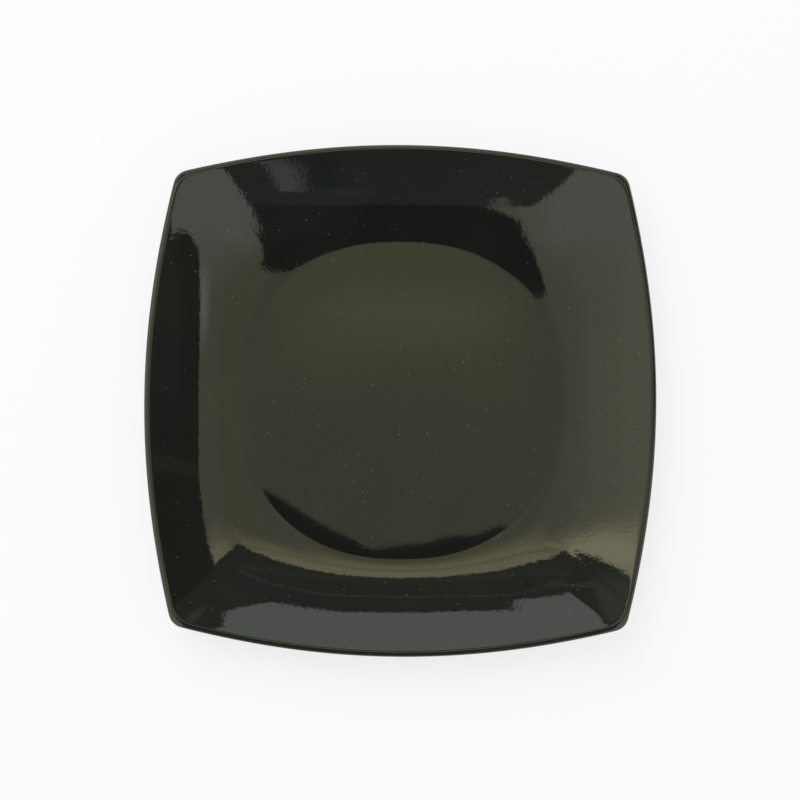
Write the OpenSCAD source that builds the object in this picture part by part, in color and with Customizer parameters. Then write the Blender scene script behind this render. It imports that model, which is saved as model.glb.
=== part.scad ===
// Square dinner plate in stoneware, with bowed sides and tight rounded corners.
// A round, softly squared well lies inside a concave rim that rises to a rounded lip.
// Millimetres, +Z up. The origin is the centre of the foot ring, on the standing plane.
// The clay is one fired body. The glaze is glass fused on it: one coat over the face,
// the lip and the underside, and one inside the foot ring, parted by the bare edge.

/* [Outline] */
// Width across the crowns of two opposite sides, over the glaze
plate_w = 266.7; // [230:0.1:330]
// How far the crown of a side stands out beyond the sharp corners of its arc
side_bow = 16; // [8:0.5:26]
// Radius of the four corners, seen from above
corner_r = 9; // [5:0.5:18]
// Corner radius of the rim where it meets the lip
crest_r = 20; // [18:0.5:30]
// Further corner radius that the rim gains on its way down to the well
valley_r = 3; // [0:1:70]

/* [Well and rim] */
// Width of the well across its flats, at the crease
well_w = 168; // [162:1:190]
// How square the well is: 2 is a circle, more is squarer
well_power = 2.3; // [2:0.05:3.5]
// Height of the middle of the floor above its edge
floor_crown = 0.2; // [0:0.1:2]
// Rise of the rim from the crease to the lip, at the crowns of the sides
rim_rise = 18; // [8:0.5:30]
// Further rise of the lip at the four corners
corner_lift = 3.5; // [0:0.5:8]
// Slope of the rim where it leaves the crease, in degrees
crease_lean = 5; // [1:0.5:10]

/* [Wall] */
// Thickness of the base, glazed on both faces
base_t = 5; // [4:0.1:8]
// Thickness of the lip, glazed
lip_t = 4.6; // [3:0.1:7]
// Thickness of the glaze
glaze_t = 0.4; // [0.2:0.05:0.8]

/* [Foot ring] */
// Outer diameter of the foot ring, at the clay
foot_w = 154; // [120:1:156]
// Width of the foot ring from its outer to its inner wall
foot_band = 5.5; // [4:0.5:12]
// Height of the clay underside above the standing plane
foot_h = 3; // [2.6:0.1:6]
// Flat bevel along both edges of the standing face
foot_edge = 0.5; // [0.2:0.1:1]
// Height of the bare clay below the end of the glaze
bare_h = 1.1; // [1:0.05:1.2]
// Radius of the glazed cove between the foot ring and the underside
cove_r = 1; // [0.4:0.1:1]

/* [View] */
// Piece to draw

/* [Hidden] */

clay_color = [0.78, 0.72, 0.62];
glaze_color = [0.13, 0.13, 0.12];
recess_color = [0.22, 0.22, 0.2];

// Steps round a side, round a corner, and along the parts of the profile
side_steps = 16;
corner_steps = 6;
rim_steps = 7;
under_steps = 6;
lip_steps = 6;
cove_steps = 3;
lean_rounds = 6;
sides = 4;
turn = 360;
quarter = turn / sides;

// Rings on the floor of the well, as shares of the way to the crease
floor_shares = [0.4, 0.65, 0.83, 0.94];
// How late the floor falls away towards the crease
fall_power = 4;
// How late the lip rises towards a corner
lift_power = 2.8;
// How much wider than even the spokes stand at the crown of a side
bunch_share = 0.25;
// Step either way along the rim when its slope is taken, as a share of the rim
slope_share = 0.01;

// Plan of the plate: four side arcs, joined by corner arcs on the diagonals
half_w = plate_w / 2;
sharp = half_w - side_bow;
side_r = (sharp * sharp + side_bow * side_bow) / (2 * side_bow);
side_c = half_w - side_r;
corner_c = corner_at(corner_r);
tangent_a = atan2(corner_c, corner_c - side_c);

// Place of a corner's centre along X and Y, for a corner of radius r
function corner_at(r) =
    (side_c + sqrt(2 * (side_r - r) * (side_r - r) - side_c * side_c)) / 2;

// The plan with corners of radius rc, in direction a: distance from the axis, and how much
// longer a length square to the outline becomes when it is measured along the spoke
function plan_at(a, rc) =
    let (f = abs(a - quarter * round(a / quarter)),
         m = corner_at(rc),
         meet = atan2(m, m - side_c),
         along = m * (cos(f) + sin(f)),
         r = f <= atan2(side_r * sin(meet), side_c + side_r * cos(meet))
             ? side_c * cos(f) + sqrt(side_r * side_r - pow(side_c * sin(f), 2))
             : along + sqrt(rc * rc - 2 * m * m + along * along),
         n = f <= atan2(side_r * sin(meet), side_c + side_r * cos(meet))
             ? asin(r * sin(f) / side_r)
             : atan2(r * sin(f) - m, r * cos(f) - m))
    [r, 1 / cos(n - f)];

// Directions of the spokes over one side and the corner after it, closer near the corner
quarter_spokes = concat(
    [for (i = [0 : side_steps - 1])
        let (u = 2 * i / side_steps - 1,
             a = tangent_a * u * (1 + bunch_share * (1 - u * u)))
        atan2(side_r * sin(a), side_c + side_r * cos(a))],
    [for (i = [0 : corner_steps - 1])
        let (a = tangent_a + (quarter - 2 * tangent_a) * i / corner_steps)
        atan2(corner_c + corner_r * sin(a), corner_c + corner_r * cos(a))]);

// Heights of the floor's edge and of the clay underside
under_z = foot_h - glaze_t;
floor_z = under_z + base_t;
lip_r = lip_t / 2;

// Distance from the axis to the crease, in direction a
function well_at(a) =
    (well_w / 2) / pow(pow(abs(cos(a)), well_power) + pow(abs(sin(a)), well_power),
                       1 / well_power);

// Rise of the lip in direction a
function rise_at(a) =
    let (soft = crest_r + valley_r, far = plan_at(quarter / 2, soft)[0])
    rim_rise + corner_lift
        * pow(max(0, plan_at(a, soft)[0] - half_w) / (far - half_w), lift_power);

// Distance of the rim from the axis, at share t of the way from the crease to the lip
function rim_r(a, t) =
    let (plan = plan_at(a, crest_r + valley_r * (1 - t)), well = well_at(a))
    well + (plan[0] - plan[1] * lip_band - well) * t;

// Height of the rim above the floor's edge: a straight start that then bends up
function rim_z(a, t) =
    let (start = (rim_r(a, 1) - well_at(a)) * tan(crease_lean))
    start * t + (rise_at(a) - start) * t * t;

// Rise of the rim for each unit along the spoke
function slope_at(a, t) =
    (rim_z(a, t + slope_share) - rim_z(a, t - slope_share))
        / (rim_r(a, t + slope_share) - rim_r(a, t - slope_share));

// Slope of the lip square to the outline, for a lip that is wide seen from above
function lean_at(slope, wide, lean, n) =
    n <= 0 ? lean :
    lean_at(slope, wide, atan(slope * wide / (lip_r * (1 + sin(lean)))), n - 1);

// Width of the lip's round at the crown of a side, inside the outermost line
crown_lean = crown_at(tangent_a, lean_rounds);
function crown_at(lean, n) =
    n <= 0 ? lean :
    let (span = half_w - lip_r * (1 + sin(lean)) - well_w / 2)
    crown_at(atan(2 * rim_rise / span - tan(crease_lean)), n - 1);
lip_band = lip_r * (1 + sin(crown_lean));

// A spoke: direction, lip distance, crease distance, stretch of the lip along the spoke,
// and slope at the lip
spokes = [for (s = [0 : sides - 1], a = quarter_spokes)
    let (r = plan_at(a, corner_r)[0],
         wide = r - rim_r(a, 1),
         lean = lean_at(slope_at(a, 1), wide, crown_lean, lean_rounds))
    [a + quarter * s, r, well_at(a), wide / (lip_r * (1 + sin(lean))), lean]];
count = len(spokes);

// Point of the rim at share t from crease to lip, sunk by d square to the face
function rim_point(sp, t, d) =
    let (a = sp[0],
         stretch = 1 + (sp[3] - 1) * t,
         lean = t == 1 ? sp[4] : atan(slope_at(a, t) * stretch))
    [rim_r(a, t) + stretch * d * sin(lean), floor_z + rim_z(a, t) - d * cos(lean)];

// Centre of the lip's round, on spoke sp, and a point of the round at angle q
function lip_point(sp, q, d) =
    let (z = floor_z + rise_at(sp[0]) - lip_r * cos(sp[4]))
    [sp[1] - sp[3] * (lip_r - (lip_r - d) * cos(q)), z + (lip_r - d) * sin(q)];

// Floor of the well at share s of the way to the crease
function floor_point(sp, s, d) =
    [sp[2] * s, floor_z + floor_crown * (1 - pow(s, fall_power)) - d];

// Wall thickness at share t of the rim
function wall_at(t) = base_t + (lip_t - base_t) * t;

// Cove beside a wall of the foot ring: side is 1 outside the ring and -1 inside it
function cove_point(wall, side, q, d) =
    let (r = cove_r + d)
    [wall + side * ((cove_r + glaze_t) - r * sin(q)),
     foot_h - glaze_t - cove_r + r * cos(q)];

// Skin from the floor over the lip to the end of the glaze, sunk by d below the glaze
function outer_skin(sp, d) = concat(
    [for (s = floor_shares) floor_point(sp, s, d)],
    [for (i = [0 : rim_steps]) rim_point(sp, i / rim_steps, d)],
    [for (i = [1 : lip_steps - 1])
        lip_point(sp, sp[4] + turn / 4 - (turn / 2) * i / lip_steps, d)],
    [for (i = [0 : under_steps - 1])
        let (t = 1 - i / under_steps) rim_point(sp, t, wall_at(t) - d)],
    [[sp[2], under_z + d]],
    [for (i = [0 : cove_steps])
        cove_point(foot_w / 2, 1, quarter * i / cove_steps, d)],
    [[foot_w / 2 + glaze_t - d, bare_h]]);

// Skin inside the foot ring, from the end of the glaze up to the flat of the recess
function recess_skin(d) = concat(
    [[foot_in - glaze_t + d, bare_h]],
    [for (i = [0 : cove_steps])
        cove_point(foot_in, -1, quarter * (cove_steps - i) / cove_steps, d)]);
foot_in = foot_w / 2 - foot_band;

// Bare clay of the foot ring, below the glaze
foot_skin = [[foot_w / 2, foot_edge], [foot_w / 2 - foot_edge, 0],
             [foot_in + foot_edge, 0], [foot_in, foot_edge]];

// Points of one profile for each spoke, then the two points on the axis
function turned(profiles, top, bottom) = concat(
    [for (j = [0 : count - 1], p = profiles[j])
        [p[0] * cos(spokes[j][0]), p[0] * sin(spokes[j][0]), p[1]]],
    [[0, 0, top], [0, 0, bottom]]);

// Triangles between rings. From ring `flip` on the other diagonal is used until `back`,
// so that a coat and the clay below it share each triangle.
function skins(rings, flip, back) = concat(
    [for (j = [0 : count - 1])
        let (k = (j + 1) % count)
        [count * rings, k * rings, j * rings]],
    [for (j = [0 : count - 1], i = [0 : rings - 2], half = [0, 1])
        let (k = (j + 1) % count,
             a = j * rings + i, b = a + 1, d = k * rings + i, c = d + 1)
        (i >= flip && i < back)
            ? (half == 0 ? [a, d, b] : [d, c, b])
            : (half == 0 ? [a, d, c] : [a, c, b])],
    [for (j = [0 : count - 1])
        let (k = (j + 1) % count)
        [count * rings + 1, (j + 1) * rings - 1, (k + 1) * rings - 1]]);

function backwards(list) = [for (i = [len(list) - 1 : -1 : 0]) list[i]];

// The clay: well, rim, lip, underside and foot ring in one fired piece
module stoneware_body() {
    profiles = [for (sp = spokes)
        concat(outer_skin(sp, glaze_t), foot_skin, recess_skin(glaze_t))];
    rings = len(profiles[0]);
    color(clay_color)
        polyhedron(
            points = turned(profiles, floor_z + floor_crown - glaze_t, foot_h),
            faces = skins(rings, rings, rings));
}

// The coat over the face, the lip and the underside, down to the foot ring
module outer_glaze() {
    profiles = [for (sp = spokes)
        concat(outer_skin(sp, 0), backwards(outer_skin(sp, glaze_t)))];
    rings = len(profiles[0]);
    color(glaze_color)
        polyhedron(
            points = turned(profiles, floor_z + floor_crown, floor_z + floor_crown - glaze_t),
            faces = skins(rings, rings / 2, rings));
}

// The coat inside the foot ring
module foot_recess_glaze() {
    profiles = [for (sp = spokes)
        concat(backwards(recess_skin(glaze_t)), recess_skin(0))];
    rings = len(profiles[0]);
    color(recess_color)
        polyhedron(
            points = turned(profiles, foot_h, foot_h - glaze_t),
            faces = skins(rings, 0, rings / 2 - 1));
}

stoneware_body();
outer_glaze();
foot_recess_glaze();
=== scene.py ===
"""Square stoneware dinner plate in black gloss glaze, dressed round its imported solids."""

import logging
import math
from dataclasses import dataclass, field
from enum import Enum
from typing import Any

import bpy
import numpy as np
from mathutils import Matrix, Vector


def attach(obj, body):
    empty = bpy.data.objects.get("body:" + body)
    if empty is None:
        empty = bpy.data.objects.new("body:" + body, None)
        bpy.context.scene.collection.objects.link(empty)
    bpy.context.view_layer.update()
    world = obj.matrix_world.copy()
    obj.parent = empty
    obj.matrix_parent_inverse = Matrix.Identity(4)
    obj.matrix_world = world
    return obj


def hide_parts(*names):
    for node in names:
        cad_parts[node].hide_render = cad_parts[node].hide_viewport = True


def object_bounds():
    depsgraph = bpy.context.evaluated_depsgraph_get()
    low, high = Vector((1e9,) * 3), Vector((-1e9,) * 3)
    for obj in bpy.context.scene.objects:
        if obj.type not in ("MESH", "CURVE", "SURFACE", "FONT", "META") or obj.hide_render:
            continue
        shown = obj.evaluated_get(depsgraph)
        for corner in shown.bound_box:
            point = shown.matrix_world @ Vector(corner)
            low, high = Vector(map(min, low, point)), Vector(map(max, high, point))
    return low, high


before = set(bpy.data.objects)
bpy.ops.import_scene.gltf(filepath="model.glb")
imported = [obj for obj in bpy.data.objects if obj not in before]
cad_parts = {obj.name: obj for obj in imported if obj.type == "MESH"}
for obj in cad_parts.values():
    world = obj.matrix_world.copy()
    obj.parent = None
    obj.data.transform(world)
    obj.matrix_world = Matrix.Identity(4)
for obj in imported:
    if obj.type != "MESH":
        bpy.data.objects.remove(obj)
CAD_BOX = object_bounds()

LOG = logging.getLogger("dinner_plate")
MM = 0.001
QUARTER = math.pi / 2
WHITE = (1.0, 1.0, 1.0)
GLASS_INDEX = 1.5

# The colour sockets of a Mix node, by number, because its other sockets have the same names
MIX_INPUTS = (0, 6, 7)
MIX_OUTPUT = 2

Colour = tuple[float, float, float]
Place = tuple[float, float, float]
Span = tuple[float, float]
Edge = tuple[float, ...]
Rings = list[np.ndarray]
Settings = dict[str, Any]
Inputs = dict[str | int, Any]


class Slot(Enum):
    """The record's material slots."""

    CLAY = "clay"
    GLAZE = "glaze"
    RECESS = "recess_glaze"


class Skin(Enum):
    """Which side of the glaze a ring lies on, as a share of the glaze's thickness."""

    GLASS = 0.0
    CLAY = 1.0


# Shader maths


class Signal:
    """A shader value: an expression on it adds the Math nodes that work it out."""

    def __init__(self, shader: "Shader", socket: bpy.types.NodeSocket) -> None:
        """Wraps one output socket.

        Args:
            shader: The node tree's maker, which adds the Math nodes.
            socket: The output that holds the value.
        """
        self.shader = shader
        self.socket = socket

    def _math(self, operation: str, *values: Any) -> "Signal":
        """Adds one Math node.

        Args:
            operation: The Math node's operation.
            values: Its inputs, each a number, a Signal or a socket.

        Returns:
            The node's value.
        """
        inputs = dict(enumerate(values))
        return self.shader.value("ShaderNodeMath", {"operation": operation}, inputs)

    def __add__(self, other: Any) -> "Signal":
        """Sum."""
        return self._math("ADD", self, other)

    def __radd__(self, other: Any) -> "Signal":
        """Sum, with the number first."""
        return self._math("ADD", other, self)

    def __sub__(self, other: Any) -> "Signal":
        """Difference."""
        return self._math("SUBTRACT", self, other)

    def __rsub__(self, other: Any) -> "Signal":
        """Difference, with the number first."""
        return self._math("SUBTRACT", other, self)

    def __mul__(self, other: Any) -> "Signal":
        """Product."""
        return self._math("MULTIPLY", self, other)

    def __rmul__(self, other: Any) -> "Signal":
        """Product, with the number first."""
        return self._math("MULTIPLY", other, self)

    def power(self, exponent: float) -> "Signal":
        """Raises the value to a power."""
        return self._math("POWER", self, exponent)

    def most(self, other: Any) -> "Signal":
        """The larger of two values."""
        return self._math("MAXIMUM", self, other)

    def above(self, limit: float) -> "Signal":
        """1 where the value is above the limit, and 0 elsewhere."""
        return self._math("GREATER_THAN", self, limit)

    def ramp(self, start: float, end: float) -> "Signal":
        """Rises smoothly from 0 at start to 1 at end.

        Args:
            start: The value that gives 0. It may lie above end.
            end: The value that gives 1.

        Returns:
            The ramp, from 0 to 1.
        """
        return self.shader.value(
            "ShaderNodeMapRange",
            {"interpolation_type": "SMOOTHSTEP", "clamp": True},
            {"Value": self, "From Min": start, "From Max": end},
        )


Way = tuple[Signal, Signal, Signal]


@dataclass(frozen=True)
class Grain:
    """A noise: features for each metre, octaves, and the weight of the finer octaves."""

    scale: float
    detail: float = 2.0
    rough: float = 0.5


class Shader:
    """The maker of one node tree, of a material or of the world."""

    def __init__(self, owner: bpy.types.Material | bpy.types.World) -> None:
        """Turns the owner's nodes on and empties its tree.

        Args:
            owner: The material or world.
        """
        owner.use_nodes = True
        self.tree = owner.node_tree
        self.tree.nodes.clear()

    def node(self, kind: str, settings: Settings | None = None,
             inputs: Inputs | None = None) -> bpy.types.Node:
        """Adds a node: its settings first, then the values and links of its sockets.

        Args:
            kind: The node's type.
            settings: Its properties.
            inputs: By socket name or index: a number, a colour, a vector, a Signal or a socket.

        Returns:
            The node.
        """
        made = self.tree.nodes.new(kind)
        for key, value in (settings or {}).items():
            setattr(made, key, value)
        for key, value in (inputs or {}).items():
            socket = made.inputs[key]
            if isinstance(value, Signal):
                self.tree.links.new(value.socket, socket)
            elif isinstance(value, bpy.types.NodeSocket):
                self.tree.links.new(value, socket)
            elif socket.type == "RGBA":
                socket.default_value = (*value, 1.0)
            else:
                socket.default_value = value
        return made

    def value(self, kind: str, settings: Settings | None = None,
              inputs: Inputs | None = None, output: str | int = 0) -> Signal:
        """Adds a node and gives one of its outputs as a value.

        Args:
            kind: The node's type.
            settings: Its properties.
            inputs: Its sockets' values and links.
            output: The name or index of the output.

        Returns:
            The output as a Signal.
        """
        return Signal(self, self.node(kind, settings, inputs).outputs[output])

    def blend(self, share: Any, first: Any, second: Any) -> bpy.types.NodeSocket:
        """Mixes two colours.

        Args:
            share: How much of the second colour shows, a number or a Signal.
            first: A colour or a colour socket.
            second: A colour or a colour socket.

        Returns:
            The mixed colour's socket.
        """
        settings = {"data_type": "RGBA", "blend_type": "MIX"}
        inputs = dict(zip(MIX_INPUTS, (share, first, second)))
        return self.node("ShaderNodeMix", settings, inputs).outputs[MIX_OUTPUT]

    def noise(self, place: bpy.types.NodeSocket, grain: Grain) -> Signal:
        """Adds a noise field.

        Args:
            place: The coordinates' socket.
            grain: The noise.

        Returns:
            The field, from 0 to 1 about 0.5.
        """
        return self.value("ShaderNodeTexNoise", {"noise_dimensions": "3D"}, {
            "Vector": place, "Scale": grain.scale, "Detail": grain.detail,
            "Roughness": grain.rough})

    def cells(self, place: bpy.types.NodeSocket, scale: float) -> tuple[Signal, Signal]:
        """Adds a field of scattered points.

        Args:
            place: The coordinates' socket.
            scale: Points for each metre.

        Returns:
            The distance from the nearest point as a share of their spacing, and that point's
            own lot, from 0 to 1.
        """
        made = self.node("ShaderNodeTexVoronoi", {"feature": "F1"},
                         {"Vector": place, "Scale": scale, "Randomness": 1.0})
        lot = self.value("ShaderNodeSeparateColor", inputs={"Color": made.outputs["Color"]})
        return Signal(self, made.outputs["Distance"]), lot

    def mark(self, name: str) -> Signal:
        """A number that the mesh carries at each vertex."""
        return self.value("ShaderNodeAttribute", {"attribute_name": name}, output="Fac")

    def light(self, kind: str, colour: Any, strength: float = 1.0) -> bpy.types.Node:
        """A Background or Emission node of that colour and strength."""
        return self.node(kind, inputs={"Color": colour, "Strength": strength})

    def mix(self, share: Any, first: bpy.types.Node, second: bpy.types.Node) -> bpy.types.Node:
        """Mixes two shaders.

        Args:
            share: How much of the second shader shows, a Signal or a socket.
            first: A shader's node.
            second: A shader's node.

        Returns:
            The Mix Shader node.
        """
        inputs = dict(enumerate((share, first.outputs[0], second.outputs[0])))
        return self.node("ShaderNodeMixShader", inputs=inputs)


Paint = tuple[bpy.types.NodeSocket, Signal, Signal]


# Finishes


@dataclass(frozen=True)
class Finish:
    """A finish: a skin whose colour, roughness and height its own paint gives."""

    name: str

    def paint(self, sh: Shader, place: bpy.types.NodeSocket) -> Paint:
        """The colour, the roughness, and the height in metres. Each finish has its own."""
        raise NotImplementedError

    def make(self) -> bpy.types.Material:
        """Builds the node material.

        Returns:
            The material.
        """
        material = bpy.data.materials.new(self.name)
        sh = Shader(material)
        place = sh.node("ShaderNodeTexCoord").outputs["Object"]
        colour, rough, height = self.paint(sh, place)
        bump = sh.node("ShaderNodeBump",
                       inputs={"Strength": 1.0, "Distance": 1.0, "Height": height})
        skin = sh.node("ShaderNodeBsdfPrincipled", inputs={
            "Base Color": colour, "Roughness": rough, "IOR": GLASS_INDEX,
            "Normal": bump.outputs["Normal"]})
        sh.node("ShaderNodeOutputMaterial", inputs={"Surface": skin.outputs[0]})
        return material


@dataclass(frozen=True)
class GlazeFinish(Finish):
    """Black gloss glass, fused on stoneware."""

    name: str = "black_gloss_glaze"
    black: Colour = (0.0080, 0.0088, 0.0080)
    brown: Colour = (0.0114, 0.0112, 0.0086)
    edge: Colour = (0.0190, 0.0195, 0.0175)
    speck: Colour = (0.6500, 0.6300, 0.5600)
    clouds: Grain = Grain(28.0, 3.0)
    cloud_span: Span = (0.35, 0.7)
    cloud_share: float = 0.6
    mottle: Grain = Grain(620.0)
    mottle_span: Span = (0.3, 0.7)
    mottle_share: float = 0.4
    thin_share: float = 0.7
    gloss: float = 0.028
    wipes: Grain = Grain(60.0, 4.0, 0.62)
    wipe_span: Span = (0.56, 0.74)
    haze: float = 0.03
    ripple: Grain = Grain(480.0, 1.0)
    ripple_height: float = 1.3e-5
    peel: Grain = Grain(1100.0, 2.0, 0.6)
    peel_height: float = 4.0e-6
    level_share: float = 0.12
    speck_gap: float = 2.4 * MM
    speck_size: float = 0.12 * MM
    speck_edge: Span = (1.5, 0.6)
    speck_lots: Span = (0.35, 1.0)
    speck_power: float = 2.5
    speck_rough: float = 0.3
    speck_height: float = 1.0e-5

    def paint(self, sh: Shader, place: bpy.types.NodeSocket) -> Paint:
        """Clouded glass with pale specks, thin and paler over the lip, rippled where it ran.

        Args:
            sh: The material's maker.
            place: The coordinates' socket.

        Returns:
            The colour, the roughness, and the height in metres.
        """
        clouds = sh.noise(place, self.clouds).ramp(*self.cloud_span)
        mottle = sh.noise(place, self.mottle).ramp(*self.mottle_span)
        away, lot = sh.cells(place, 1.0 / self.speck_gap)
        reach = self.speck_size / self.speck_gap
        outer, inner = self.speck_edge
        chosen = lot.ramp(*self.speck_lots).power(self.speck_power)
        speck = away.ramp(reach * outer, reach * inner) * chosen
        warm = clouds * self.cloud_share + mottle * self.mottle_share
        colour = sh.blend(warm, self.black, self.brown)
        colour = sh.blend(sh.mark("thin") * self.thin_share, colour, self.edge)
        colour = sh.blend(speck, colour, self.speck)
        wiped = sh.noise(place, self.wipes).ramp(*self.wipe_span)
        rough = self.gloss + wiped * self.haze + speck * self.speck_rough
        uneven = (sh.noise(place, self.ripple) * self.ripple_height
                  + sh.noise(place, self.peel) * self.peel_height)
        share = self.level_share + sh.mark("run") * (1.0 - self.level_share)
        return colour, rough, uneven * share + speck * self.speck_height


@dataclass(frozen=True)
class ClayFinish(Finish):
    """Bare fired stoneware, sandy and matt."""

    name: str = "bare_stoneware"
    pale: Colour = (0.46, 0.39, 0.29)
    dark: Colour = (0.27, 0.21, 0.15)
    iron: Colour = (0.07, 0.05, 0.04)
    worn: Colour = (0.36, 0.33, 0.29)
    sand: Grain = Grain(1800.0, 3.0, 0.65)
    sand_span: Span = (0.3, 0.75)
    sand_share: float = 0.6
    sand_height: float = 6.0e-5
    clouds: Grain = Grain(90.0, 3.0)
    cloud_share: float = 0.4
    cloud_height: float = 3.6e-5
    rubs: Grain = Grain(260.0, 4.0, 0.7)
    rub_span: Span = (0.5, 0.68)
    rub_share: float = 0.5
    specks: float = 520.0
    speck_edge: Span = (0.24, 0.1)
    speck_lot: float = 0.8
    speck_share: float = 0.85
    matt: float = 0.92
    polish: float = 0.22

    def paint(self, sh: Shader, place: bpy.types.NodeSocket) -> Paint:
        """Sandy clay with specks of iron, greyer and smoother where it rubs on a table.

        Args:
            sh: The material's maker.
            place: The coordinates' socket.

        Returns:
            The colour, the roughness, and the height in metres.
        """
        sand = sh.noise(place, self.sand)
        clouds = sh.noise(place, self.clouds)
        rub = sh.noise(place, self.rubs).ramp(*self.rub_span)
        away, lot = sh.cells(place, self.specks)
        speck = away.ramp(*self.speck_edge) * lot.above(self.speck_lot)
        shade = sand.ramp(*self.sand_span) * self.sand_share + clouds * self.cloud_share
        colour = sh.blend(shade, self.pale, self.dark)
        colour = sh.blend(rub * self.rub_share, colour, self.worn)
        colour = sh.blend(speck * self.speck_share, colour, self.iron)
        height = sand * self.sand_height + clouds * self.cloud_height
        return colour, self.matt - rub * self.polish, height


# The plate's form


@dataclass(frozen=True)
class RingCount:
    """How many rings each stretch of a skin has, and where more lie close to the crease."""

    floor: int
    rim: int
    lip: int
    under: int
    cove: int
    recess: int
    crease: tuple[float, ...] = ()


FINE = RingCount(floor=22, rim=40, lip=22, under=26, cove=8, recess=10, crease=(0.006, 0.014))
COARSE = RingCount(floor=5, rim=9, lip=8, under=8, cove=4, recess=2)


@dataclass
class PlateForm:
    """The plate's surfaces, from the same sizes as its solids. Lengths are in metres.

    A ring holds the distance from the axis and the height, on every spoke.
    """

    plate_w: float = 266.7 * MM
    side_bow: float = 16 * MM
    corner_r: float = 9 * MM
    crest_r: float = 20 * MM
    valley_r: float = 3 * MM
    well_w: float = 168 * MM
    well_power: float = 2.3
    floor_crown: float = 0.2 * MM
    fall_power: float = 4.0
    rim_rise: float = 18 * MM
    corner_lift: float = 3.5 * MM
    lift_power: float = 2.8
    crease_lean: float = math.radians(5)
    base_t: float = 5 * MM
    lip_t: float = 4.6 * MM
    glaze_t: float = 0.4 * MM
    foot_w: float = 154 * MM
    foot_band: float = 5.5 * MM
    foot_h: float = 3 * MM
    foot_edge: float = 0.5 * MM
    bare_h: float = 1.1 * MM
    cove_r: float = 1 * MM
    bead_reach: float = 1.15
    bead_depth: float = 1.1
    side_steps: int = 96
    corner_steps: int = 12
    bead_steps: int = 8
    edge_steps: int = 6
    bunch: float = 0.25
    first_ring: float = 0.02
    slope_step: float = 0.01
    first_lean: float = 0.6
    rounds: int = 20

    def __post_init__(self) -> None:
        """Works out the sizes that follow from the ones given."""
        self.half_w = self.plate_w / 2
        sharp = self.half_w - self.side_bow
        self.side_r = (sharp**2 + self.side_bow**2) / (2 * self.side_bow)
        self.side_c = self.half_w - self.side_r
        self.lip_r = self.lip_t / 2
        self.under_z = self.foot_h - self.glaze_t
        self.floor_z = self.under_z + self.base_t
        self.foot_in = self.foot_w / 2 - self.foot_band
        lean = self.first_lean
        for _ in range(self.rounds):
            span = self.half_w - self.lip_r * (1 + math.sin(lean)) - self.well_w / 2
            lean = math.atan(2 * self.rim_rise / span - math.tan(self.crease_lean))
        self.lip_band = self.lip_r * (1 + math.sin(lean))
        self.spokes = self._spokes()
        self.well = self._well()
        self.rise = self._rise()
        wide = self.outline(self.corner_r)[0] - self.rim_distance(1.0)
        slope = self.rim_slope(1.0)
        self.lean = np.full_like(wide, lean)
        for _ in range(self.rounds):
            self.lean = np.arctan(slope * wide / (self.lip_r * (1 + np.sin(self.lean))))
        self.stretch = wide / (self.lip_r * (1 + np.sin(self.lean)))

    def corner_at(self, radius: float) -> float:
        """Place along X and Y of the centre of a corner of that radius."""
        root = math.sqrt(2 * (self.side_r - radius) ** 2 - self.side_c**2)
        return (self.side_c + root) / 2

    def _spokes(self) -> np.ndarray:
        """Directions of the spokes, closer together at the corners.

        Returns:
            The angles, in radians, once round.
        """
        m = self.corner_at(self.corner_r)
        meet = math.atan2(m, m - self.side_c)
        u = 2 * np.arange(self.side_steps) / self.side_steps - 1
        a = meet * u * (1 + self.bunch * (1 - u * u))
        side = np.arctan2(self.side_r * np.sin(a), self.side_c + self.side_r * np.cos(a))
        b = meet + (QUARTER - 2 * meet) * np.arange(self.corner_steps) / self.corner_steps
        corner = np.arctan2(m + self.corner_r * np.sin(b), m + self.corner_r * np.cos(b))
        one = np.concatenate([side, corner])
        return np.concatenate([one + k * QUARTER for k in range(4)])

    def outline(self, radius: float) -> tuple[np.ndarray, np.ndarray]:
        """The plan with corners of that radius, on every spoke.

        Args:
            radius: Corner radius.

        Returns:
            The distances from the axis, and how much longer a length square to the outline
            becomes along the spoke.
        """
        f = np.abs((self.spokes + QUARTER / 2) % QUARTER - QUARTER / 2)
        m = self.corner_at(radius)
        meet = math.atan2(m, m - self.side_c)
        along = m * (np.cos(f) + np.sin(f))
        switch = math.atan2(self.side_r * math.sin(meet),
                            self.side_c + self.side_r * math.cos(meet))
        side = self.side_c * np.cos(f) + np.sqrt(self.side_r**2 - (self.side_c * np.sin(f)) ** 2)
        corner = along + np.sqrt(np.maximum(radius**2 - 2 * m * m + along**2, 0.0))
        r = np.where(f <= switch, side, corner)
        lean = np.where(
            f <= switch,
            np.arcsin(np.clip(r * np.sin(f) / self.side_r, -1, 1)),
            np.arctan2(r * np.sin(f) - m, r * np.cos(f) - m),
        )
        return r, 1 / np.cos(lean - f)

    def _well(self) -> np.ndarray:
        """Distance of the crease from the axis, on every spoke."""
        c, s, n = np.abs(np.cos(self.spokes)), np.abs(np.sin(self.spokes)), self.well_power
        return self.well_w / 2 / (c**n + s**n) ** (1 / n)

    def _rise(self) -> np.ndarray:
        """Works out how high the lip stands.

        Returns:
            The rise of the lip above the floor's edge, on every spoke.
        """
        soft = self.crest_r + self.valley_r
        far = math.sqrt(2) * self.corner_at(soft) + soft
        past = np.maximum(self.outline(soft)[0] - self.half_w, 0.0) / (far - self.half_w)
        return self.rim_rise + self.corner_lift * past**self.lift_power

    def rim_distance(self, t: float) -> np.ndarray:
        """Distance of the rim from the axis, at share t of the way from crease to lip."""
        r, stretch = self.outline(self.crest_r + self.valley_r * (1 - t))
        return self.well + (r - stretch * self.lip_band - self.well) * t

    def rim_height(self, t: float) -> np.ndarray:
        """Height of the rim above the floor's edge, at share t."""
        start = (self.rim_distance(1.0) - self.well) * math.tan(self.crease_lean)
        return start * t + (self.rise - start) * t * t

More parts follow.
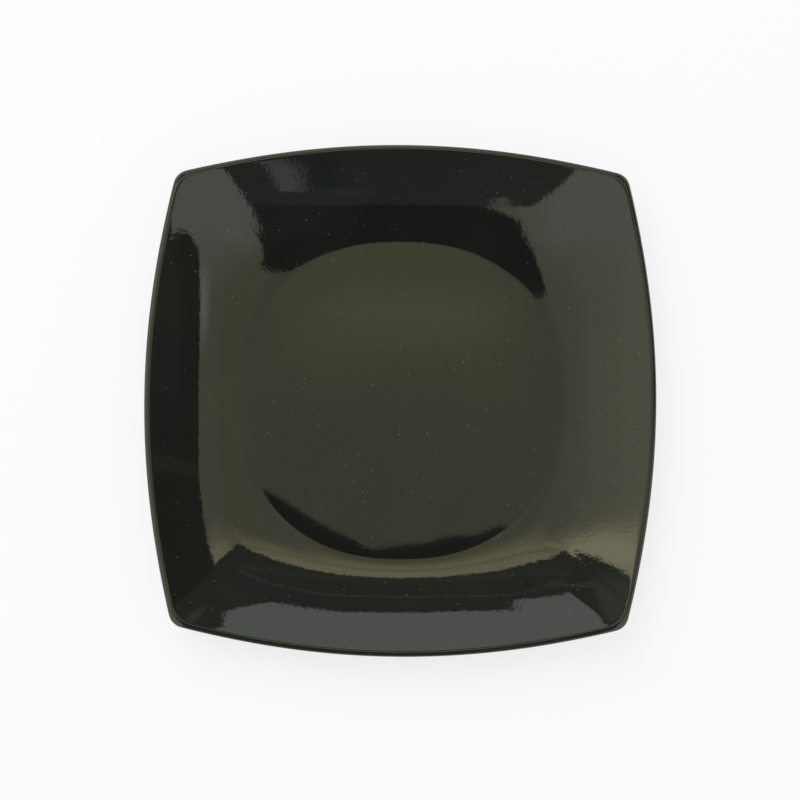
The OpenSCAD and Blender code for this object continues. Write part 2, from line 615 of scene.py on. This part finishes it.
    def rim_slope(self, t: float) -> np.ndarray:
        """Works out how steep the rim is along the spoke.

        Args:
            t: Share of the way from crease to lip.

        Returns:
            The rise for each unit along the spoke.
        """
        before, after = t - self.slope_step, t + self.slope_step
        rise = self.rim_height(after) - self.rim_height(before)
        return rise / (self.rim_distance(after) - self.rim_distance(before))

    def round_ring(self, radius: float, z: float) -> np.ndarray:
        """A round ring about the axis."""
        return np.stack([np.full_like(self.well, radius), np.full_like(self.well, z)])

    def floor_ring(self, s: float, depth: float) -> np.ndarray:
        """Ring of the floor, at share s of the way to the crease, sunk by depth."""
        z = self.floor_z + self.floor_crown * (1 - s**self.fall_power) - depth
        return np.stack([self.well * s, np.full_like(self.well, z)])

    def rim_ring(self, t: float, depth: float) -> np.ndarray:
        """Ring of the rim.

        Args:
            t: Share of the way from crease to lip.
            depth: How far the ring is sunk, square to the face.

        Returns:
            The ring.
        """
        stretch = 1 + (self.stretch - 1) * t
        lean = self.lean if t == 1 else np.arctan(self.rim_slope(t) * stretch)
        return np.stack([
            self.rim_distance(t) + stretch * depth * np.sin(lean),
            self.floor_z + self.rim_height(t) - depth * np.cos(lean),
        ])

    def lip_ring(self, share: float, depth: float) -> np.ndarray:
        """Ring of the lip's round.

        Args:
            share: Share of the way from the face to the underside.
            depth: How far the ring is sunk below the glass.

        Returns:
            The ring.
        """
        q = self.lean + QUARTER - math.pi * share
        z = self.floor_z + self.rise - self.lip_r * np.cos(self.lean)
        r = self.lip_r - depth
        return np.stack([
            self.outline(self.corner_r)[0] - self.stretch * (self.lip_r - r * np.cos(q)),
            z + r * np.sin(q),
        ])

    def under_ring(self, t: float, depth: float) -> np.ndarray:
        """Ring of the underside.

        Args:
            t: Share of the way from below the crease to the lip.
            depth: How far the ring is sunk below the glass.

        Returns:
            The ring.
        """
        if t == 0:
            return np.stack([self.well, np.full_like(self.well, self.under_z + depth)])
        wall = self.base_t + (self.lip_t - self.base_t) * t
        return self.rim_ring(t, wall - depth)

    def cove_ring(self, wall: float, side: int, turn: float, depth: float) -> np.ndarray:
        """Ring of the cove beside a wall of the foot ring.

        Args:
            wall: Radius of the wall.
            side: 1 outside the foot ring, -1 inside it.
            turn: Share of the way from the flat to the wall.
            depth: How far the ring is sunk below the glass.

        Returns:
            The ring.
        """
        q, r = turn * QUARTER, self.cove_r + depth
        radius = wall + side * ((self.cove_r + self.glaze_t) - r * math.sin(q))
        return self.round_ring(radius, self.under_z - self.cove_r + r * math.cos(q))

    def outer_skin(self, skin: Skin, count: RingCount) -> Rings:
        """Rings from the floor over the lip to the wall of the foot ring.

        Args:
            skin: The glass surface, or the clay under it.
            count: How many rings there are.

        Returns:
            The rings, from the axis outward and back below.
        """
        d, foot = skin.value * self.glaze_t, self.foot_w / 2
        inward = [math.sin(QUARTER * k / count.floor) for k in range(1, count.floor)]
        upward = [k / count.rim for k in range(1, count.rim + 1)]
        rings = [self.floor_ring(s, d) for s in (self.first_ring, *inward)]
        rings += [self.rim_ring(t, d) for t in (0.0, *count.crease, *upward)]
        rings += [self.lip_ring(k / count.lip, d) for k in range(1, count.lip)]
        rings += [self.under_ring(1 - k / count.under, d) for k in range(count.under + 1)]
        rings += [self.cove_ring(foot, 1, k / count.cove, d) for k in range(count.cove + 1)]
        return rings

    def recess_skin(self, skin: Skin, count: RingCount) -> Rings:
        """Rings inside the foot ring, from its wall to the middle of the recess.

        Args:
            skin: The glass surface, or the clay over it.
            count: How many rings there are.

        Returns:
            The rings, from the wall inward.
        """
        d, wall = skin.value * self.glaze_t, self.foot_in
        edge, z = wall - self.cove_r - self.glaze_t, self.under_z + d
        rings = [self.cove_ring(wall, -1, 1 - k / count.cove, d) for k in range(count.cove + 1)]
        rings += [self.round_ring(edge * (1 - k / count.recess), z)
                  for k in range(1, count.recess)]
        return rings

    def coat_end(self, wall: float, side: int) -> Rings:
        """The rounded end of a coat on a wall of the foot ring.

        Args:
            wall: Radius of the wall.
            side: 1 outside the foot ring, -1 inside it.

        Returns:
            The rings, from glass to clay.
        """
        r = self.glaze_t / 2
        z = self.bare_h + r
        turns = [math.pi * k / self.bead_steps for k in range(1, self.bead_steps)]
        bead = [self.round_ring(wall + side * r * (1 + self.bead_reach * math.cos(q)),
                                z - self.bead_depth * r * math.sin(q)) for q in turns]
        return [self.round_ring(wall + side * self.glaze_t, z), *bead, self.round_ring(wall, z)]

    def standing_edge(self) -> Rings:
        """The bare standing edge of the foot ring, with both of its corners rounded.

        Returns:
            The rings, from the outer wall to the inner one.
        """
        e, outer, inner = self.foot_edge, self.foot_w / 2, self.foot_in
        turns = [QUARTER * k / self.edge_steps for k in range(self.edge_steps + 1)]
        edge = [self.round_ring(outer - e + e * math.cos(q), e - e * math.sin(q)) for q in turns]
        edge += [self.round_ring(inner + e - e * math.sin(q), e - e * math.cos(q)) for q in turns]
        return edge

    def face_height(self) -> float:
        """Height of the middle of the floor, over the glaze."""
        return self.floor_z + self.floor_crown


def add_object(name: str, data: Any) -> bpy.types.Object:
    """Adds an object to the scene.

    Args:
        name: Its name.
        data: Its mesh, lamp or camera.

    Returns:
        The object.
    """
    made = bpy.data.objects.new(name, data)
    bpy.context.scene.collection.objects.link(made)
    return made


def read_vectors(mesh: bpy.types.Mesh, name: str) -> np.ndarray:
    """Reads one vector of every vertex.

    Args:
        mesh: The mesh.
        name: What to read, "co" or "normal".

    Returns:
        The vectors, one to a row.
    """
    values = np.zeros(len(mesh.vertices) * 3, np.float32)
    mesh.vertices.foreach_get(name, values)
    return values.reshape(-1, 3)


def write_mark(mesh: bpy.types.Mesh, name: str, values: np.ndarray) -> None:
    """Gives every vertex a number from 0 to 1, which a finish reads by its name."""
    data = mesh.attributes.new(name, "FLOAT", "POINT").data
    data.foreach_set("value", np.clip(values, 0, 1).astype(np.float32))


@dataclass
class Loft:
    """A closed skin through rings that share their spokes.

    Its wave lengths are in millimetres. Below the share wave_floor of the foot's height it has
    no waves.
    """

    form: PlateForm
    name: str
    rings: Rings
    top: float
    bottom: float
    wave: float = 0.0
    wave_lengths: tuple[int, ...] = (52, 43, 36, 29, 24, 19)
    wave_floor: float = 0.8
    seed: int = 5

    def _ripples(self, x: np.ndarray, y: np.ndarray) -> np.ndarray:
        """Long, shallow waves, as a fired plate has.

        Args:
            x: Places along X.
            y: Places along Y.

        Returns:
            The waves' mean height, from -1 to 1.
        """
        rng = np.random.default_rng(self.seed)
        total = np.zeros_like(x)
        for length in self.wave_lengths:
            turn, phase = rng.uniform(0, 2 * math.pi, 2)
            k = 2 * math.pi / (length * MM)
            total += np.sin(k * (x * math.cos(turn) + y * math.sin(turn)) + phase)
        return total / len(self.wave_lengths)

    def _points(self) -> np.ndarray:
        """Places of the rings' points and of both middles, kept inside the solids' box.

        Returns:
            The places, one to a row.
        """
        grid, spokes = np.stack(self.rings), self.form.spokes
        x, y, z = grid[:, 0] * np.cos(spokes), grid[:, 0] * np.sin(spokes), grid[:, 1]
        if self.wave:
            raised = z > self.form.foot_h * self.wave_floor
            z = z + self.wave * self._ripples(x, y) * raised
        points = np.stack([x, y, z], -1).reshape(-1, 3)
        middles = np.array([[0, 0, self.top], [0, 0, self.bottom]])
        low, high = (np.array(corner) for corner in CAD_BOX)
        return np.clip(np.concatenate([points, middles]), low, high)

    def _faces(self) -> list[tuple[int, ...]]:
        """Quads from ring to ring, and a fan of triangles to each middle.

        Returns:
            The points of each face.
        """
        count, rings = len(self.form.spokes), len(self.rings)
        j = np.arange(count)
        k = (j + 1) % count
        starts = np.arange(rings - 1)[:, None] * count
        quads = np.stack([starts + j, starts + count + j, starts + count + k, starts + k], -1)
        faces = [tuple(quad) for quad in quads.reshape(-1, 4).tolist()]
        first, base = rings * count, (rings - 1) * count
        around = list(zip(j.tolist(), k.tolist()))
        faces += [(first, a, b) for a, b in around]
        faces += [(first + 1, base + b, base + a) for a, b in around]
        return faces

    def build(self) -> bpy.types.Object:
        """Makes the mesh object.

        Returns:
            The object.
        """
        mesh = bpy.data.meshes.new(self.name)
        mesh.from_pydata(self._points().tolist(), [], self._faces())
        mesh.update()
        mesh.shade_smooth()
        return add_object(self.name, mesh)


@dataclass
class Plate:
    """The plate: the fired clay and the two coats of glaze on it."""

    form: PlateForm = field(default_factory=PlateForm)
    wave: float = 0.012 * MM
    run_slope: float = 0.25
    lip_gain: float = 1.6
    lip_start: float = 0.2
    lip_thinning: float = 0.6
    end_band: float = 0.5 * MM
    least_radius: float = 1e-6

    def dress(self, piece: bpy.types.Object, material: bpy.types.Material,
              node: str) -> bpy.types.Object:
        """Gives a piece its finish and its place in the frame.

        Args:
            piece: The piece.
            material: Its material.
            node: The solid that it stands for.

        Returns:
            The piece.
        """
        piece.data.materials.append(material)
        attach(piece, "root")
        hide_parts(node)
        LOG.info("%s: %d faces, stands for %s", piece.name, len(piece.data.polygons), node)
        return piece

    def mark_glass(self, piece: bpy.types.Object) -> None:
        """Marks where the glass is thin, over the lip and at a coat's end, and where it has run.

        Args:
            piece: The coat.
        """
        form, mesh = self.form, piece.data
        places, normals = read_vectors(mesh, "co"), read_vectors(mesh, "normal")
        r = np.hypot(places[:, 0], places[:, 1])
        outward = (normals[:, :2] * places[:, :2]).sum(1) / np.maximum(r, self.least_radius)
        near_lip = r > form.half_w - form.lip_t
        lip = np.clip(outward * self.lip_gain + self.lip_start, 0, 1) * near_lip
        end = np.clip((form.bare_h + self.end_band - places[:, 2]) / self.end_band, 0, 1)
        slope = np.hypot(normals[:, 0], normals[:, 1])
        write_mark(mesh, "thin", lip * self.lip_thinning + end)
        write_mark(mesh, "run", slope / self.run_slope)

    def build(self) -> list[bpy.types.Object]:
        """Builds and dresses the clay and both coats.

        Returns:
            The pieces.
        """
        form = self.form
        glaze, clay = GlazeFinish().make(), ClayFinish().make()
        face, foot = form.face_height(), form.foot_w / 2
        clay_face = form.outer_skin(Skin.CLAY, COARSE)
        clay_recess = form.recess_skin(Skin.CLAY, COARSE)
        body = Loft(form, "clay_body", clay_face + form.standing_edge() + clay_recess,
                    face - form.glaze_t, form.foot_h).build()
        coat = Loft(form, "glaze_coat",
                    form.outer_skin(Skin.GLASS, FINE) + form.coat_end(foot, 1) + clay_face[::-1],
                    face, face - form.glaze_t, self.wave).build()
        recess = Loft(form, "recess_coat",
                      clay_recess[::-1] + form.coat_end(form.foot_in, -1)[::-1]
                      + form.recess_skin(Skin.GLASS, FINE),
                      form.foot_h, form.under_z).build()
        for coated in (coat, recess):
            self.mark_glass(coated)
        return [
            self.dress(body, clay, "stoneware_body"),
            self.dress(coat, glaze, "outer_glaze"),
            self.dress(recess, glaze, "foot_recess_glaze"),
        ]


# The studio


@dataclass(frozen=True)
class Panel:
    """A panel of the room as gloss sees it: a colour between straight edges overhead.

    Each edge is (a, b, c): the panel lies where a*x + b*y + c*z of the direction is positive.
    A fourth number is the edge's own softness. The space inside all the edges of notch stays bare.
    """

    name: str
    colour: Colour
    edges: tuple[Edge, ...]
    soft: float = 0.006
    notch: tuple[Edge, ...] = ()

    def _inside(self, edges: tuple[Edge, ...], way: Way) -> Signal:
        """The space inside some edges.

        Args:
            edges: The edges.
            way: The direction's X, Y and Z.

        Returns:
            1 inside all the edges and 0 outside them.
        """
        total = None
        x, y, z = way
        for a, b, c, *own in edges:
            soft = own[0] if own else self.soft
            side = (x * a + y * b + z * c).ramp(-soft, soft)
            total = side if total is None else total * side
        return total

    def mask(self, way: Way) -> Signal:
        """Where the panel shows.

        Args:
            way: The direction's X, Y and Z.

        Returns:
            1 on the panel and 0 off it.
        """
        shown = self._inside(self.edges, way)
        return shown * (1.0 - self._inside(self.notch, way)) if self.notch else shown


@dataclass
class Studio:
    """Floor, soft light, the room that the gloss mirrors, and the camera."""

    floor_size: float = 3.0
    floor_colour: Colour = (0.95, 0.95, 0.95)
    shadow_share: float = 0.25
    shadow_reach: Span = (0.30, 0.90)
    daylight: float = 0.62
    lamp_size: float = 1.4
    lamp_power: float = 17.0
    lamp_place: Place = (-0.5, 0.9, 1.6)
    camera_place: Place = (0.006, -0.028, 0.926)
    camera_aim: Place = (0.0, -0.0002, 0.026)
    camera_roll: float = 0.42
    lens: float = 78.02
    sensor: float = 36.0
    clip: Span = (0.01, 20.0)
    zenith: Colour = (0.74, 0.79, 0.51)
    ceiling: Colour = (0.98, 1.01, 0.67)
    ceiling_span: Span = (1.0, 0.975)
    west_sky: Colour = (1.50, 1.54, 1.08)
    west_span: Span = (-0.08, -1.0)
    panels: tuple[Panel, ...] = (
        Panel("east_ceiling", (0.86, 0.91, 0.55), ((1, 0, -0.12), (-1, 0, 0.42)), 0.08),
        Panel("ceiling_light", (0.95, 0.98, 0.56),
              ((0, 1, -0.04), (1, 0, 0.085), (-1, 0, 0.068)), 0.035),
        Panel("ceiling_lamp", (1.20, 1.22, 0.74),
              ((0, 1, -0.07, 0.02), (0, -1, 0.10, 0.02), (1, 0, 0.06, 0.04), (-1, 0, 0.06, 0.04))),
        Panel("southwest_glow", (1.45, 1.50, 1.28), ((-1, 0, -0.20), (0, -1, -0.22)), 0.12),
        Panel("southeast_glow", (1.40, 1.46, 1.30), ((1, 0, -0.20), (0, -1, -0.20)), 0.10),
        Panel("north_glow", (1.95, 1.87, 1.10),
              ((0, 1, -0.185, 0.05), (-1, 0, 0.06, 0.03), (1, 0, 0.20, 0.06))),
        Panel("beige_wall", (2.02, 1.94, 1.14), ((0, 1, -0.25), (-1, 0, 0.54)), 0.06),
        Panel("beige_glow", (2.45, 2.32, 1.36), ((0, 1, -0.285), (-1, 0, 0.54)), 0.04),
        Panel("west_glow", (3.55, 3.35, 2.15), ((0, 1, -0.248, 0.03), (-1, 0, -0.24, 0.16))),
        Panel("north_shade", (0.17, 0.215, 0.15),
              ((0, 1, -0.258), (0.152, 1, -0.219), (-0.438, 1, -0.111))),
        Panel("beige_peak", (2.32, 2.21, 1.32),
              ((0.392, -1, 0.416), (-0.524, -1, 0.404), (0, -1, 0.368), (0, 1, -0.25, 0.06))),
        Panel("northwest_shade", (0.48, 0.53, 0.46), ((0, 1, -0.39, 0.05), (-1, 0, -0.58)), 0.06),
        Panel("northwest_eaves", (0.44, 0.49, 0.43),
              ((0.32, -1, 0.660), (-0.32, 1, -0.625), (1, 0, 0.60, 0.05), (-1, 0, -0.27, 0.02))),
        Panel("northeast_shade", (0.10, 0.105, 0.065),
              ((1, 0.956, -0.836), (0, 1, -0.14), (0.438, -1, 0.17, 0.05))),
        Panel("northeast_patch", (0.47, 0.49, 0.43),
              ((1, 0, -0.41, 0.015), (-1, 0, 0.57, 0.03),
               (0, 1, -0.76, 0.04), (0, -1, 0.94, 0.04))),
        Panel("northwest_glow", (1.40, 1.45, 1.25), ((-1, 0, -1.0), (0, 1, -0.9)), 0.1),
        Panel("northeast_glow", (1.40, 1.45, 1.25), ((1, 0, -1.0), (0, 1, -0.9)), 0.1),
        Panel("window_west", (1.52, 1.65, 1.53),
              ((-0.548, 1, -0.812), (0.9, 1, -0.35, 0.015), (-1, 0, 0.02), (1, 0, 0.50, 0.02))),
        Panel("window_east", (1.52, 1.65, 1.53),
              ((-0.64, 1, -0.649), (1, 0, 0.02), (-1, 0, 0.335))),
        Panel("north_gable", (0.16, 0.20, 0.18),
              ((1, 0, 0.185), (0.55, -1, 0.972), (0, -1, 0.95), (-1.553, -1, 1.06),
               (0, 1, -0.50))),
        Panel("eaves", (0.44, 0.49, 0.42),
              ((1.25, -1, 0.885), (0, -1, 0.668), (-1.17, -1, 0.769), (0, 1, -0.42, 0.05)), 0.004),
        Panel("north_wall", (0.17, 0.215, 0.14),
              ((1.25, -1, 0.865), (0, -1, 0.650), (-1.17, -1, 0.749), (0, 1, -0.42, 0.05)), 0.004),
        Panel("east_glow", (1.75, 1.80, 1.62),
              ((1, 0, -0.60, 0.05), (0, 1, 0.17, 0.03), (0, -1, -0.05, 0.04))),
        Panel("east_shade", (0.085, 0.095, 0.065),
              ((1, 0, -0.705), (0.49, 1, -0.1265), (0, 1, 0.272), (-0.20, 1, 0.46),
               (0, -1, 0.14))),
        Panel("east_haze", (0.15, 0.155, 0.13),
              ((1, 0, -1.0, 0.12), (0, -1, 0.06, 0.06), (-0.20, 1, 0.46), (0, 1, 0.272))),
        Panel("south_shade", (0.022, 0.022, 0.030),
              ((0.51, -1, 0.019, 0.002), (-0.754, -1, -0.0055, 0.004), (-1, -0.185, 0.149),
               (1, 0.35, 0.33), (1, 0, 0.178)),
              notch=((0.518, 1, 0.0818, 0.002), (-0.17, 1, 0.066, 0.002))),
        Panel("south_haze", (0.085, 0.085, 0.08),
              ((-1, -0.185, 0.149), (1, 0, -0.10, 0.05), (0, -1, -0.24, 0.06))),
        Panel("south_far_shade", (0.20, 0.205, 0.19),
              ((0, -1, -0.59, 0.015), (-1, -0.185, 0.149), (1, -0.30, 0.040))),
        Panel("south_patch", (0.27, 0.28, 0.25),
              ((0, -1, -0.72, 0.06), (0, 1, 0.88, 0.03), (1, 0, -0.03, 0.02), (-1, 0, 0.09, 0.01))),
        Panel("south_column", (0.11, 0.14, 0.145),
              ((0, -1, -0.86, 0.03), (1, 0, -0.07, 0.015), (-1, 0, 0.13, 0.015))),
        Panel("south_notch", (0.95, 0.98, 0.88),
              ((0, -1, -0.57, 0.01), (0, 1, 0.70, 0.02), (1, 0, 0.165), (-1, 0, -0.138)), 0.004),
        Panel("south_gap", (0.85, 0.88, 0.80),
              ((0, -1, -0.775, 0.015), (0, 1, 1.3, 0.1), (1, 0, -0.135), (-1, -0.045, 0.145)),
              0.01),
    )

    def build(self) -> None:
        """Builds the whole studio."""
        self._world()
        self._floor()
        self._lamp()
        self._camera()
        bpy.context.scene.view_settings.view_transform = "Standard"
        LOG.info("room: %s", ", ".join(panel.name for panel in self.panels))

    def _world(self) -> None:
        """The world: white to the camera, plain daylight on matt surfaces, the room to gloss."""
        world = bpy.data.worlds.new("studio")
        bpy.context.scene.world = world
        sh = Shader(world)
        ray = sh.node("ShaderNodeLightPath").outputs
        place = sh.node("ShaderNodeTexCoord").outputs["Generated"]
        axes = sh.node("ShaderNodeSeparateXYZ", inputs={0: place}).outputs
        x, y, z = (Signal(sh, axes[k]) for k in range(3))
        room = sh.blend(z.ramp(*self.ceiling_span), self.zenith, self.ceiling)
        room = sh.blend(x.ramp(*self.west_span), room, self.west_sky)
        for panel in self.panels:
            room = sh.blend(panel.mask((x, y, z)), room, panel.colour)
        plain = sh.light("ShaderNodeBackground", WHITE, self.daylight)
        gloss = sh.light("ShaderNodeBackground", room)
        white = sh.light("ShaderNodeBackground", WHITE)
        lit = sh.mix(ray["Is Glossy Ray"], plain, gloss)
        seen = Signal(sh, ray["Is Camera Ray"]).most(ray["Is Transmission Ray"])
        sh.node("ShaderNodeOutputWorld", inputs={"Surface": sh.mix(seen, lit, white).outputs[0]})

    def _floor(self) -> None:
        """The pale floor."""
        half = self.floor_size / 2
        mesh = bpy.data.meshes.new("studio_floor")
        mesh.from_pydata([(-half, -half, 0), (half, -half, 0), (half, half, 0), (-half, half, 0)],
                         [], [(0, 1, 2, 3)])
        mesh.materials.append(self._floor_material())
        add_object("studio_floor", mesh)

    def _floor_material(self) -> bpy.types.Material:
        """The floor's finish, which looks white to the camera but keeps the plate's shadow.

        Returns:
            The material.
        """
        material = bpy.data.materials.new("pale_floor")
        sh = Shader(material)
        ray = sh.node("ShaderNodeLightPath").outputs
        matt = sh.node("ShaderNodeBsdfDiffuse", inputs={"Color": self.floor_colour})
        glow = sh.light("ShaderNodeEmission", WHITE)
        seen = Signal(sh, ray["Is Camera Ray"])
        for kind in ("Is Glossy Ray", "Is Transmission Ray"):
            seen = seen.most(ray[kind])
        place = sh.node("ShaderNodeTexCoord").outputs["Object"]
        away = sh.value("ShaderNodeVectorMath", {"operation": "LENGTH"}, {0: place}, "Value")
        near, far = self.shadow_reach
        out = sh.mix(seen * (1.0 - away.ramp(far, near) * self.shadow_share), matt, glow)
        sh.node("ShaderNodeOutputMaterial", inputs={"Surface": out.outputs[0]})
        return material

    def _lamp(self) -> None:
        """One large soft lamp, out of the gloss."""
        light = bpy.data.lights.new("soft_lamp", "AREA")
        light.shape, light.size, light.energy = "SQUARE", self.lamp_size, self.lamp_power
        lamp = add_object("soft_lamp", light)
        lamp.location = self.lamp_place
        lamp.rotation_euler = (-Vector(self.lamp_place)).to_track_quat("-Z", "Y").to_euler()
        lamp.visible_glossy = False

    def _camera(self) -> None:
        """The camera, nearly straight above the plate."""
        data = bpy.data.cameras.new("camera")
        data.sensor_width, data.lens = self.sensor, self.lens
        data.clip_start, data.clip_end = self.clip
        camera = add_object("camera", data)
        camera.location = self.camera_place
        look = (Vector(self.camera_aim) - Vector(self.camera_place)).normalized()
        north = Vector((0.0, 1.0, 0.0))
        right = look.cross(north).normalized()
        axes = Matrix((right, right.cross(look), -look)).transposed()
        turn = Matrix.Rotation(math.radians(self.camera_roll), 3, "Z")
        camera.rotation_euler = (axes @ turn).to_euler()
        bpy.context.scene.camera = camera


def main() -> None:
    """Builds the plate and the studio, and reports each piece."""
    logging.basicConfig(level=logging.INFO, format="%(name)s: %(message)s")
    for piece in Plate().build():
        LOG.info("%s is in place", piece.name)
    Studio().build()


if __name__ == "__main__":
    main()
